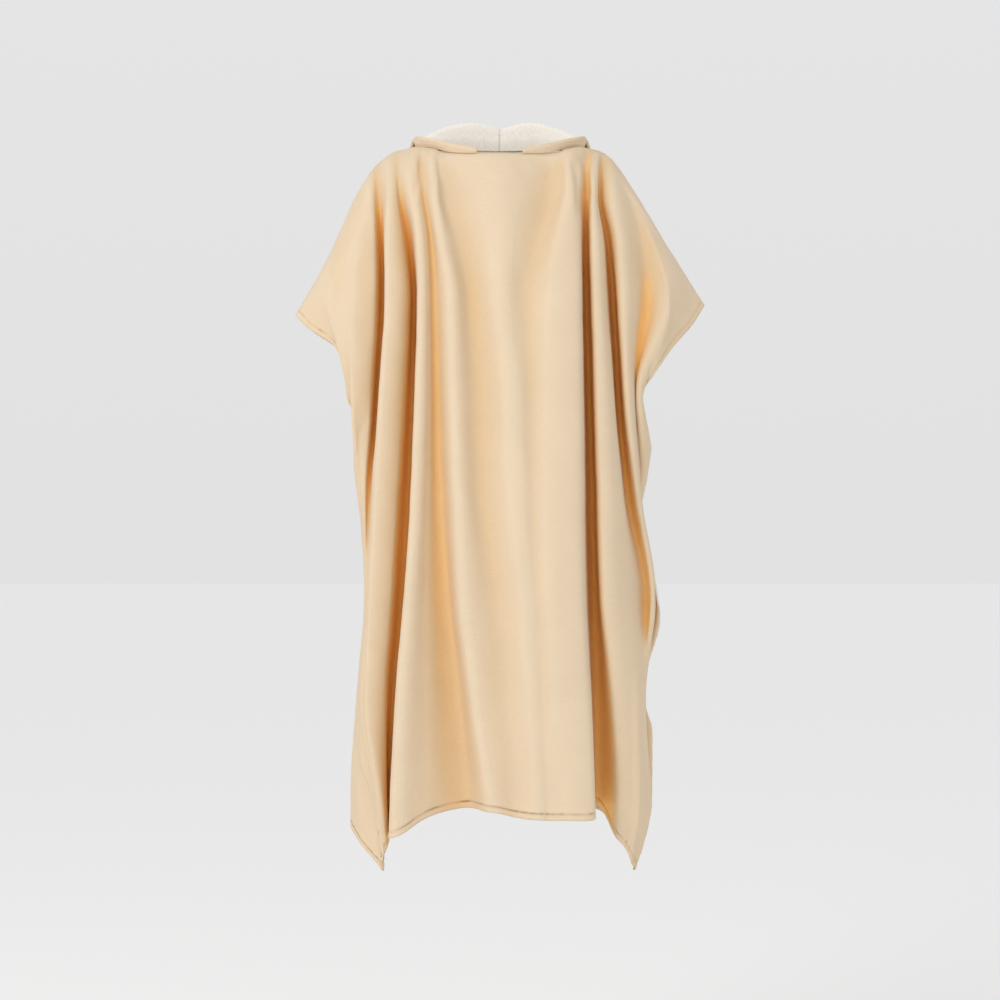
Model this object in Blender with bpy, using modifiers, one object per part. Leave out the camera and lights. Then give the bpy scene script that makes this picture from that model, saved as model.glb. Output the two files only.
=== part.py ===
"""Hooded bath poncho: two rectangles of towelling sewn at shoulders and sides, with a hood worn down.

Metres, +Z up, the front faces -Y. The origin is where the shoulders carry the garment.
"""

from collections import namedtuple

import bmesh
import bpy
import numpy as np

CM = 0.01
WALL = 0.0025
SEAM_GAP = 0.0013
NECK_LIFT = 0.19
CURL = 0.36
SIDE_TURN_START = 0.12
SIDE_TURN_RUN = 0.18
SIDE_LEAN = 0.3
SHOULDER_CLEAR = 1.5
SIDE_CUTS = 3
FRONT_ROWS = 21
BACK_ROWS = 18
TOP_BIAS = 0.3
PEACH = (0.90, 0.70, 0.47, 1.0)
CREAM = (0.84, 0.78, 0.68, 1.0)
CLOTH_ROUGHNESS = 0.9

# WALL is the cloth, SEAM_GAP the room kept at the shoulder and side seams, in metres.
# CURL is how far a fold swells past its own line, for each unit of its depth.
# SIDE_TURN_START, SIDE_TURN_RUN: where, as a share of the drop, the sides begin to turn round.
# SHOULDER_CLEAR, NECK_LIFT, HALF_GAP: centimetres.

# Drops below the shoulders, in centimetres, at which each fold is placed.
LEVELS = (8, 15, 23, 38, 53, 68, 83, 98, 109)

# One fold line, from the top edge of its panel to the hem, in centimetres.
# top: across, depth, height.  hem: height.  cuts: faces between this fold and the next.
# across, depth: at each of LEVELS.
Fold = namedtuple("Fold", "name top hem cuts across depth")

# One point of a panel's side edge: height, across, depth for front and for back.
Edge = namedtuple("Edge", "height across front back")

LEFT_EDGE = (
    Edge(-25.3, -30.8, -0.1, 0.1),
    Edge(-27.2, -28.9, -1.8, 1.8),
    Edge(-30.5, -24.3, -4.6, 4.2),
    Edge(-34.3, -22.9, -5.4, 4.6),
    Edge(-38.0, -22.7, -5.0, 4.4),
    Edge(-41.6, -21.1, -3.4, 3.6),
    Edge(-47.4, -21.9, -0.1, 0.1),
    Edge(-53.0, -21.3, 0.0, 0.0),
    Edge(-60.0, -19.0, 0.4, 0.4),
    Edge(-68.0, -19.6, 0.0, 0.0),
    Edge(-76.0, -20.6, -1.2, -1.2),
    Edge(-84.0, -21.0, -2.8, -2.8),
    Edge(-91.0, -20.9, -5.0, -5.0),
    Edge(-98.0, -18.7, -7.0, -7.0),
    Edge(-108.0, -17.3, -8.8, -8.8),
)
RIGHT_EDGE = (
    Edge(-23.8, 30.8, -0.1, 0.1),
    Edge(-26.7, 28.9, -2.2, 2.0),
    Edge(-30.5, 25.6, -4.4, 4.0),
    Edge(-34.3, 23.0, -5.4, 4.6),
    Edge(-38.2, 20.8, -4.6, 4.2),
    Edge(-41.8, 20.7, -2.8, 3.0),
    Edge(-45.2, 22.7, -0.1, 0.1),
    Edge(-49.4, 22.2, 0.0, 0.0),
    Edge(-56.0, 21.1, 0.2, 0.2),
    Edge(-64.5, 22.9, -0.6, -0.6),
    Edge(-71.0, 24.0, -1.2, -1.2),
    Edge(-79.6, 21.8, -0.6, -0.6),
    Edge(-83.4, 21.4, -0.4, -0.4),
    Edge(-88.0, 22.9, -0.9, -0.9),
    Edge(-98.5, 22.7, -2.4, -2.4),
    Edge(-104.5, 21.5, -3.6, -3.6),
    Edge(-108.4, 20.0, -4.8, -4.8),
)

FRONT_FOLDS = (
    Fold("left sleeve drape", (-26.4, -0.1, -17.7), -107.4, 2,
         (-26.4, -26.4, -25.6, -22.0, -21.2, -19.4, -20.9, -18.4, -17.2),
         (-3.0, -4.0, -5.2, -6.4, -3.0, -2.6, -5.0, -7.6, -8.9)),
    Fold("left sleeve ridge", (-21.7, -0.1, -7.5), -106.6, 2,
         (-21.7, -21.7, -22.2, -21.8, -20.6, -19.8, -20.8, -18.2, -17.0),
         (-3.0, -5.4, -6.6, -7.2, -4.6, -4.8, -6.6, -8.1, -9.0)),
    Fold("left sleeve fall", (-19.6, -0.1, -4.1), -106.0, 2,
         (-19.4, -18.9, -18.8, -19.4, -20.2, -19.9, -20.6, -18.1, -16.9),
         (-4.8, -5.8, -6.4, -6.4, -5.4, -5.9, -7.4, -8.3, -9.0)),
    Fold("left arm valley", (-18.6, -0.1, -2.9), -105.6, 2,
         (-18.0, -17.7, -17.5, -18.3, -19.5, -19.6, -20.2, -18.0, -16.8),
         (-4.2, -3.4, -2.8, -3.0, -4.6, -6.4, -7.6, -8.4, -9.0)),
    Fold("left outer ridge", (-17.3, -0.1, -1.6), -105.0, 2,
         (-16.5, -16.6, -16.5, -17.4, -18.2, -19.0, -19.6, -17.6, -16.6),
         (-7.4, -9.0, -9.8, -9.8, -9.2, -8.8, -8.8, -8.6, -8.8)),
    Fold("left outer fall", (-16.4, -0.1, -1.0), -103.8, 2,
         (-15.5, -14.6, -13.9, -14.6, -15.5, -16.4, -17.3, -16.9, -16.4),
         (-7.2, -8.2, -8.6, -8.6, -8.4, -8.2, -8.0, -7.4, -7.4)),
    Fold("left deep valley", (-15.6, -0.1, -0.7), -103.0, 2,
         (-14.8, -13.4, -12.8, -13.1, -13.8, -14.7, -15.9, -16.4, -16.4),
         (-6.4, -5.6, -4.8, -4.4, -4.2, -4.0, -3.8, -3.6, -3.4)),
    Fold("left body ridge", (-14.5, -0.1, -0.4), -102.5, 2,
         (-12.9, -12.0, -11.7, -12.0, -12.6, -13.5, -14.6, -15.3, -15.6),
         (-8.6, -10.4, -11.5, -12.6, -13.1, -13.5, -13.9, -14.2, -14.4)),
    Fold("left body plane", (-13.2, -0.8, -0.1), -99.8, 2,
         (-12.0, -11.0, -10.6, -10.5, -10.7, -10.9, -10.9, -10.6, -10.8),
         (-8.5, -10.0, -10.9, -11.5, -11.6, -11.5, -11.4, -11.6, -11.8)),
    Fold("left soft valley", (-12.2, -1.4, -0.1), -98.7, 2,
         (-11.1, -10.1, -9.7, -9.4, -8.8, -7.8, -6.4, -5.2, -4.6),
         (-7.8, -9.1, -9.8, -10.2, -10.0, -9.4, -9.0, -8.9, -9.0)),
    Fold("left chest ridge", (-10.0, -3.3, -0.6), -98.9, 2,
         (-9.5, -8.4, -7.1, -6.6, -6.0, -5.2, -3.4, -1.2, 0.2),
         (-9.5, -11.1, -12.3, -13.2, -13.6, -13.8, -14.0, -14.2, -14.3)),
    Fold("left drag line", (-8.0, -4.6, -1.3), -99.7, 2,
         (-7.8, -5.6, -4.2, -3.0, -2.6, -0.5, 1.1, 2.4, 3.4),
         (-8.0, -9.3, -10.3, -11.1, -11.8, -12.5, -13.1, -13.6, -13.8)),
    Fold("centre", (-1.0, -6.3, -1.6), -99.9, 2,
         (0.0, 0.0, 0.2, 1.8, 2.2, 3.6, 4.6, 5.6, 6.4),
         (-9.8, -11.5, -12.8, -13.6, -14.1, -14.5, -14.9, -15.1, -15.3)),
    Fold("right drag line", (7.6, -4.8, -1.4), -100.0, 2,
         (7.3, 5.6, 4.1, 4.6, 4.8, 5.7, 6.4, 7.3, 8.1),
         (-7.3, -9.5, -11.4, -12.8, -13.5, -14.2, -14.6, -14.8, -15.0)),
    Fold("right chest ridge", (10.0, -3.3, -0.6), -100.0, 2,
         (9.9, 8.7, 7.7, 7.0, 7.0, 7.7, 8.3, 9.6, 10.6),
         (-9.4, -11.3, -12.7, -13.6, -14.1, -14.4, -14.7, -14.8, -14.9)),
    Fold("right body edge", (12.0, -1.4, -0.1), -100.0, 2,
         (11.6, 11.5, 11.5, 11.6, 11.7, 12.0, 12.9, 13.6, 14.0),
         (-8.4, -10.4, -11.6, -12.4, -12.8, -13.1, -13.5, -13.8, -14.0)),
    Fold("right deep valley", (13.3, -0.1, -0.2), -98.8, 2,
         (12.9, 12.8, 12.9, 13.3, 13.7, 14.1, 14.5, 14.6, 14.7),
         (-6.0, -5.6, -5.0, -4.8, -4.6, -4.4, -4.0, -3.6, -3.2)),
    Fold("right outer ridge", (14.3, -0.1, -0.6), -103.8, 2,
         (13.7, 13.8, 14.0, 14.5, 15.0, 15.5, 17.0, 17.8, 17.6),
         (-7.8, -9.4, -10.2, -10.6, -10.6, -10.4, -9.0, -7.6, -6.4)),
    Fold("right outer fall", (14.9, -0.1, -0.8), -105.2, 2,
         (14.3, 15.1, 15.6, 16.7, 17.8, 19.0, 19.7, 19.4, 18.4),
         (-7.2, -8.2, -8.6, -8.8, -8.4, -7.6, -7.8, -7.4, -6.4)),
    Fold("right arm valley", (15.6, -0.1, -1.1), -106.6, 2,
         (14.9, 16.2, 17.0, 17.8, 19.2, 21.7, 20.8, 20.6, 19.0),
         (-5.0, -4.4, -3.4, -3.2, -3.0, -2.6, -6.8, -7.3, -6.3)),
    Fold("right sleeve ridge", (17.0, -0.1, -2.0), -107.5, 2,
         (16.8, 17.8, 18.1, 18.8, 20.6, 22.8, 21.4, 21.5, 19.4),
         (-6.8, -8.0, -8.6, -8.0, -5.4, -4.0, -4.8, -5.6, -5.7)),
    Fold("right sleeve valley", (19.8, -0.1, -6.0), -107.9, 2,
         (19.8, 21.5, 22.0, 20.2, 21.0, 23.3, 21.7, 22.3, 19.7),
         (-4.2, -4.6, -4.8, -5.6, -3.4, -2.2, -2.8, -4.0, -5.4)),
    Fold("right sleeve drape", (24.5, -0.1, -13.9), -108.1, 2,
         (24.5, 24.5, 25.0, 20.6, 21.2, 23.3, 21.5, 22.6, 19.9),
         (-3.0, -4.8, -6.6, -6.4, -1.8, -1.8, -1.6, -3.2, -5.1)),
)

BACK_FOLDS = (
    Fold("left sleeve drape", (-26.4, 0.1, -17.7), -104.6, 3,
         (-26.4, -26.4, -25.2, -22.0, -21.2, -19.6, -21.0, -21.4, -20.0),
         (3.0, 4.0, 5.4, 6.0, 3.6, 4.0, 0.6, -2.6, -5.2)),
    Fold("left arm ridge", (-20.4, 0.1, -5.3), -101.8, 3,
         (-20.4, -20.5, -20.6, -20.6, -20.8, -20.2, -21.2, -22.2, -22.4),
         (3.4, 6.2, 7.4, 8.0, 8.4, 8.6, 6.2, 2.6, 0.2)),
    Fold("left deep valley", (-16.8, 0.1, -1.3), -101.2, 3,
         (-16.0, -15.2, -14.4, -14.2, -14.8, -15.6, -16.4, -17.2, -17.6),
         (5.0, 5.0, 4.2, 3.0, 2.4, 2.0, 1.8, 1.6, 1.6)),
    Fold("left blade ridge", (-14.0, 0.1, -0.3), -100.8, 3,
         (-13.4, -12.4, -11.6, -11.2, -11.6, -12.2, -13.0, -13.6, -14.0),
         (7.6, 9.2, 10.2, 11.0, 11.6, 12.0, 12.4, 12.6, 12.8)),
    Fold("left soft valley", (-9.4, 3.9, -0.1), -100.0, 3,
         (-9.6, -9.2, -8.6, -7.6, -7.0, -6.6, -6.4, -6.4, -6.6),
         (7.8, 9.2, 9.9, 10.2, 10.2, 9.8, 9.2, 8.8, 8.6)),
    Fold("left back ridge", (-4.6, 5.8, 0.0), -99.4, 3,
         (-5.0, -4.6, -4.0, -2.8, -1.8, -1.2, -0.6, -0.2, 0.0),
         (9.2, 10.4, 11.0, 11.7, 12.2, 12.8, 13.2, 13.6, 13.8)),
    Fold("back valley", (0.8, 6.4, 0.0), -99.2, 3,
         (1.2, 1.6, 2.0, 2.6, 3.2, 3.4, 3.8, 4.2, 4.4),
         (8.9, 10.0, 10.5, 10.7, 10.4, 9.4, 8.2, 7.4, 7.2)),
    Fold("right back ridge", (6.0, 5.4, 0.0), -99.6, 2,
         (6.2, 6.4, 6.8, 7.2, 7.8, 8.2, 8.6, 9.0, 9.0),
         (8.9, 10.3, 11.0, 11.8, 12.4, 12.9, 13.3, 13.5, 13.6)),
    Fold("right soft valley", (9.6, 3.7, -0.1), -100.2, 3,
         (9.8, 9.8, 9.8, 10.0, 10.6, 11.2, 11.6, 12.0, 12.0),
         (7.6, 9.1, 9.9, 10.4, 10.8, 11.2, 11.6, 11.9, 12.0)),
    Fold("right blade ridge", (13.8, 0.1, -0.3), -101.2, 3,
         (13.0, 12.6, 12.8, 13.2, 14.0, 14.8, 15.2, 15.4, 15.2),
         (7.4, 9.2, 10.2, 11.0, 11.5, 11.8, 12.0, 12.1, 12.0)),
    Fold("right deep valley", (16.4, 0.1, -1.6), -103.2, 3,
         (15.8, 15.6, 15.8, 16.4, 17.2, 18.2, 18.4, 18.2, 17.6),
         (4.8, 4.8, 4.2, 3.0, 2.4, 2.2, 2.2, 2.4, 2.4)),
    Fold("right arm ridge", (20.4, 0.1, -7.0), -105.6, 3,
         (20.2, 20.7, 21.0, 19.7, 20.2, 22.0, 21.0, 21.8, 20.6),
         (3.4, 6.0, 7.2, 7.8, 7.6, 6.6, 6.4, 5.2, 3.0)),
    Fold("right sleeve drape", (25.1, 0.1, -14.8), -107.4, 3,
         (25.1, 25.0, 25.0, 20.5, 21.0, 23.2, 21.3, 22.4, 20.0),
         (3.0, 4.2, 5.6, 6.0, 3.2, 2.4, 2.6, 1.0, -1.4)),
)

# One section of the hood, from the neck seam over the roll, down the back and up to the face edge.
# Each point: across, depth, height.
Section = namedtuple("Section", "name seam lip roll fall pouch turn rim")

HOOD_SECTIONS = (
    Section("nape", (0.0, 6.45, 0.0), (0.0, 6.6, 1.8), (0.0, 7.9, 3.2), (0.0, 11.9, -4.0),
            (0.0, 12.9, -18.4), (0.0, 15.8, -20.4), (0.0, 18.0, -4.6)),
    Section("beside the nape", (4.4, 5.9, 0.0), (4.5, 6.1, 2.3), (4.7, 7.4, 4.1), (5.2, 11.6, -3.4),
            (5.8, 12.8, -16.6), (6.2, 15.4, -18.2), (6.4, 17.4, -3.8)),
    Section("back of the neck", (8.0, 4.6, 0.0), (8.3, 4.9, 1.9), (8.8, 6.3, 3.2), (9.8, 10.2, -2.2),
            (10.6, 12.2, -10.8), (11.0, 14.2, -12.2), (11.2, 15.2, -2.4)),
    Section("behind the shoulder", (11.0, 2.7, 0.0), (11.2, 2.9, 0.8), (11.8, 3.9, 1.6), (12.8, 6.4, 0.2),
            (13.4, 8.8, -3.4), (13.7, 9.8, -3.8), (13.8, 9.6, -0.6)),
    Section("neck end", (12.6, 0.0, -0.1), (12.7, 0.1, 0.2), (12.8, 0.2, 0.5), (12.9, 0.4, 0.8),
            (13.0, 0.7, 1.0), (13.1, 0.9, 1.0), (13.1, 1.0, 1.1)),
    Section("side of the neck", (10.6, -2.65, -0.38), (10.7, -2.75, -0.12), (10.8, -2.9, 0.1),
            (10.9, -3.0, 0.4), (11.0, -3.1, 0.6), (11.0, -3.1, 0.8), (11.0, -3.0, 0.95)),
    Section("front of the neck", (7.0, -5.1, -1.4), (7.0, -5.2, -1.18), (7.0, -5.3, -0.95), (7.0, -5.4, -0.7),
            (7.0, -5.4, -0.5), (7.0, -5.4, -0.35), (7.0, -5.3, -0.2)),
    Section("face point", (3.4, -6.2, -1.6), (3.4, -6.3, -1.5), (3.4, -6.4, -1.4), (3.4, -6.4, -1.3),
            (3.4, -6.4, -1.2), (3.4, -6.4, -1.1), (3.4, -6.3, -1.0)),
)
HOOD_CUTS = (2, 2, 3, 3, 2, 1, 1)
HOOD_STEPS = (1, 2, 3, 2, 3, 2)
HALF_GAP = 0.075


def clear_scene():
    for item in list(bpy.data.objects):
        bpy.data.objects.remove(item, do_unlink=True)


def slopes(places, values):
    """Slopes of a smooth curve through values, which never swings past them."""
    steps = np.diff(places)
    rises = np.diff(values) / steps
    inner = np.zeros(len(values))
    same = rises[:-1] * rises[1:] > 0
    weight_a = 2 * steps[1:] + steps[:-1]
    weight_b = steps[1:] + 2 * steps[:-1]
    safe_a = np.where(same, rises[:-1], 1.0)
    safe_b = np.where(same, rises[1:], 1.0)
    mean = (weight_a + weight_b) / (weight_a / safe_a + weight_b / safe_b)
    inner[1:-1] = np.where(same, mean, 0.0)
    inner[0] = rises[0]
    inner[-1] = rises[-1]
    return inner


def hermite(start, end, leave, arrive, t):
    square = t * t
    cube = square * t
    return (
        start * (2 * cube - 3 * square + 1)
        + leave * (cube - 2 * square + t)
        + end * (3 * square - 2 * cube)
        + arrive * (cube - square)
    )


def smooth(wanted, places, values):
    places = np.asarray(places, float)
    values = np.asarray(values, float)
    tilt = slopes(places, values)
    cell = np.clip(np.searchsorted(places, wanted) - 1, 0, len(places) - 2)
    width = places[cell + 1] - places[cell]
    t = (wanted - places[cell]) / width
    return hermite(values[cell], values[cell + 1], tilt[cell] * width, tilt[cell + 1] * width, t)


def fold_line(fold, drop):
    """Points of one fold from its top edge to the hem. The cloth turns over the shoulder as a round."""
    across, depth, height = fold.top
    z = height + (fold.hem - height) * drop
    kept = [n for n, level in enumerate(LEVELS) if -level < height - SHOULDER_CLEAR]
    places = np.sqrt([0.0] + [height + LEVELS[n] for n in kept])
    wanted = np.sqrt(height - z)
    x = smooth(wanted, places, [across] + [fold.across[n] for n in kept])
    y = smooth(wanted, places, [depth] + [fold.depth[n] for n in kept])
    return np.stack([x, y, z], axis=1)


def edge_line(edges, side, drop):
    heights = np.array([edge.height for edge in edges])
    z = heights[0] + (heights[-1] - heights[0]) * drop
    x = smooth(-z, -heights, [edge.across for edge in edges])
    y = smooth(-z, -heights, [getattr(edge, side) for edge in edges])
    return np.stack([x, y, z], axis=1)


def across_directions(lines, facing, drop):
    """Direction and strength with which a section passes each fold line: level with the front."""
    count = len(lines)
    leave = np.zeros_like(lines)
    for n in range(1, count - 1):
        before = lines[n, :, 1] - lines[n - 1, :, 1]
        after = lines[n + 1, :, 1] - lines[n, :, 1]
        turns = before * after < 0
        gentle = 2 * np.minimum(np.abs(before), np.abs(after))
        leave[n] = (lines[n + 1] - lines[n - 1]) * 0.5
        leave[n, :, 0] += CURL * 0.5 * (np.abs(before) + np.abs(after)) * turns
        leave[n, :, 1] = np.clip(leave[n, :, 1], -gentle, gentle) * ~turns
    wrap = np.clip((drop - SIDE_TURN_START) / SIDE_TURN_RUN, 0, 1)[:, None]
    for end, other, sign in ((0, 1, 1.0), (count - 1, count - 2, -1.0)):
        chord = (lines[other] - lines[end]) * sign
        size = np.linalg.norm(chord, axis=1, keepdims=True)
        around = np.array([[0.0, facing * sign, 0.0]]) * size
        leave[end] = chord * (1 - wrap) + (SIDE_LEAN * chord + around) * wrap
    return leave


def panel_points(folds, side, rows):
    """A grid of points of one panel, columns across by rows down, in metres."""
    step = np.linspace(0, 1, rows + 1)
    drop = step * (step + TOP_BIAS) / (1 + TOP_BIAS)
    facing = -1.0 if side == "front" else 1.0
    lines = [edge_line(LEFT_EDGE, side, drop)]
    lines += [fold_line(fold, drop) for fold in folds]
    lines += [edge_line(RIGHT_EDGE, side, drop)]
    lines = np.array(lines)
    lines[:, :, 1] += facing * SEAM_GAP / CM / 2
    leave = across_directions(lines, facing, drop)
    cuts = [SIDE_CUTS] + [fold.cuts for fold in folds]
    columns = [lines[0]]
    for n, count in enumerate(cuts):
        for k in range(1, count + 1):
            columns.append(hermite(lines[n], lines[n + 1], leave[n], leave[n + 1], k / count))
    return np.array(columns) * CM


def cloth_from_points(name, points, outward, outside, inside):
    """A sheet on a grid of points, given the cloth's wall, its outer side turned outward."""
    columns, rows = points.shape[0] - 1, points.shape[1] - 1
    mesh = bpy.data.meshes.new(name)
    grid = bmesh.new()
    bmesh.ops.create_grid(grid, x_segments=columns, y_segments=rows, size=1.0)
    for vert in grid.verts:
        column = round((vert.co.x + 1) / 2 * columns)
        row = round((1 - vert.co.y) / 2 * rows)
        vert.co = points[column, row]
    if not outward:
        bmesh.ops.reverse_faces(grid, faces=grid.faces)
    grid.to_mesh(mesh)
    grid.free()
    mesh.materials.append(outside)
    mesh.materials.append(inside)
    sheet = bpy.data.objects.new(name, mesh)
    wall = sheet.modifiers.new("wall", "SOLIDIFY")
    wall.thickness = WALL
    wall.offset = 0.0
    wall.material_offset = 1
    wall.material_offset_rim = 0
    return sheet


def cloth_material(name, colour):
    material = bpy.data.materials.new(name)
    material.use_nodes = True
    shader = material.node_tree.nodes["Principled BSDF"]
    shader.inputs["Base Color"].default_value = colour
    shader.inputs["Roughness"].default_value = CLOTH_ROUGHNESS
    return material


def through(points, cuts):
    """A finer run of points through a short one, passing each of them smoothly."""
    points = np.asarray(points, float)
    leave = np.gradient(points, axis=0)
    finer = [points[0]]
    for n, count in enumerate(cuts):
        for k in range(1, count + 1):
            finer.append(hermite(points[n], points[n + 1], leave[n], leave[n + 1], k / count))
    return np.array(finer)


def hood_points(side):
    """One half of the hood: sections from the nape round to the face point, each from seam to rim."""
    sections = np.array([section[1:] for section in HOOD_SECTIONS])
    paths = np.array([through(section, HOOD_STEPS) for section in sections])
    halves = through(paths, HOOD_CUTS)
    halves[:, :, 2] += NECK_LIFT
    halves[0, :, 0] = HALF_GAP
    halves[:, :, 0] *= side
    return halves * CM


def build():
    clear_scene()
    collection = bpy.data.collections.new("hooded_bath_poncho")
    bpy.context.scene.collection.children.link(collection)
    peach = cloth_material("peach_weave", PEACH)
    cream = cloth_material("cream_terry", CREAM)
    front = panel_points(FRONT_FOLDS, "front", FRONT_ROWS)
    back = panel_points(BACK_FOLDS, "back", BACK_ROWS)
    sheets = (
        cloth_from_points("front_panel", front, True, peach, cream),
        cloth_from_points("back_panel", back, False, peach, cream),
        cloth_from_points("hood_left", hood_points(-1), False, peach, cream),
        cloth_from_points("hood_right", hood_points(1), True, peach, cream),
    )
    for sheet in sheets:
        collection.objects.link(sheet)


build()
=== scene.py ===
from collections import namedtuple

import bmesh
import bpy
import numpy as np
from mathutils import Matrix, Vector


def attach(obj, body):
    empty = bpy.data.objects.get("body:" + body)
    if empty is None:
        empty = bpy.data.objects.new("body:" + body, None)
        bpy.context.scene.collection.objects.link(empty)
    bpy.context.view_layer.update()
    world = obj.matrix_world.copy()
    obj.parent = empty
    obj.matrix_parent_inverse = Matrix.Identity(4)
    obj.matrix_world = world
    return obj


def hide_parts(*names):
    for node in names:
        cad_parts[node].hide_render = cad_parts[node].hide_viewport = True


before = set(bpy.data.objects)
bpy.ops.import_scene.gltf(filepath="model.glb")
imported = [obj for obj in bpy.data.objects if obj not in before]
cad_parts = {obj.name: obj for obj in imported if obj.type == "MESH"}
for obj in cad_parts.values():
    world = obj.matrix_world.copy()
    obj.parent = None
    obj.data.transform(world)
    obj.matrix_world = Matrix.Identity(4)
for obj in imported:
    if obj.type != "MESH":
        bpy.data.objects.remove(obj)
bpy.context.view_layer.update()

# ---------------------------------------------------------------- front panel
# The front is one rectangle of towelling, woven flat outside with a terry pile behind.
# It hangs from the shoulders and sleeves in long folds. Its foot and its sleeve edges
# are turned in twice and stitched down; its top is sewn to the back.

CM = 0.01
MM = 0.001
WALL = 2.8 * MM
HEM = 11 * MM
STITCH_LINE = 8.5 * MM
STITCH_PITCH = 3.6 * MM
STITCH_LENGTH = 2.7 * MM
THREAD = 0.9 * MM
STITCH_BATCH = 400
SEAM_LAP = 0.4 * MM
SHOULDER_LAP = 1.1 * MM
SHOULDER_LAP_RUN = 0.01
CURL = 0.36
SIDE_TURN_START = 0.12
SIDE_TURN_RUN = 0.18
SIDE_LEAN = 0.3
SHOULDER_CLEAR = 1.5
TOP_BIAS = 0.3
PANEL_FINENESS = 10
PANEL_ROWS = 176
HEM_ROWS = 7
FOOT_BAND = 0.013
SIDE_BAND = 0.25
HEM_GROOVE = 0.75 * MM
HEM_GROOVE_WIDTH = 1.8 * MM
HEM_BODY = 0.4 * MM
# Strength of the painted shade in a hem's stitched groove.
HEM_SHADE = 0.22
# Strength of the painted fold shade on the back panel.
BACK_SHADE = 0.78
NECK_HALF = 13.5 * CM
NECK_SEAM_REACH = 4 * MM
SIDE_SEAM_WIDTH = 2.2 * MM
SHELTER_REACH = 12 * CM
ARMHOLE_FOOT = -0.46

# Drops below the shoulders, in centimetres, at which each fold is placed.
LEVELS = (8, 15, 23, 38, 53, 68, 83, 98, 109)

# One fold line, from the top edge of its panel to the hem, in centimetres.
# top: across, depth, height.  hem: height.  across, depth: at each of LEVELS.
Fold = namedtuple("Fold", "name top hem across depth")

# One point of a panel's side edge: height, across, depth for front and for back.
Edge = namedtuple("Edge", "height across front back")

LEFT_EDGE = (
    Edge(-25.3, -30.8, -0.1, 0.1),
    Edge(-27.2, -28.9, -1.8, 1.8),
    Edge(-30.5, -24.3, -4.6, 4.2),
    Edge(-34.3, -22.9, -5.4, 4.6),
    Edge(-38.0, -22.7, -5.0, 4.4),
    Edge(-41.6, -21.1, -3.4, 3.6),
    Edge(-47.4, -21.9, -0.1, 0.1),
    Edge(-53.0, -21.3, 0.0, 0.0),
    Edge(-60.0, -19.0, 0.4, 0.4),
    Edge(-68.0, -19.6, 0.0, 0.0),
    Edge(-76.0, -20.6, -1.2, -1.2),
    Edge(-84.0, -21.0, -2.8, -2.8),
    Edge(-91.0, -20.9, -5.0, -5.0),
    Edge(-98.0, -18.7, -7.0, -7.0),
    Edge(-108.0, -17.3, -8.8, -8.8),
)
RIGHT_EDGE = (
    Edge(-23.8, 30.8, -0.1, 0.1),
    Edge(-26.7, 28.9, -2.2, 2.0),
    Edge(-30.5, 25.6, -4.4, 4.0),
    Edge(-34.3, 23.0, -5.4, 4.6),
    Edge(-38.2, 20.8, -4.6, 4.2),
    Edge(-41.8, 20.7, -2.8, 3.0),
    Edge(-45.2, 22.7, -0.1, 0.1),
    Edge(-49.4, 22.2, 0.0, 0.0),
    Edge(-56.0, 21.1, 0.2, 0.2),
    Edge(-64.5, 22.9, -0.6, -0.6),
    Edge(-71.0, 24.0, -1.2, -1.2),
    Edge(-79.6, 21.8, -0.6, -0.6),
    Edge(-83.4, 21.4, -0.4, -0.4),
    Edge(-88.0, 22.9, -0.9, -0.9),
    Edge(-98.5, 22.7, -2.4, -2.4),
    Edge(-104.5, 21.5, -3.6, -3.6),
    Edge(-108.4, 20.0, -4.8, -4.8),
)

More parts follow.
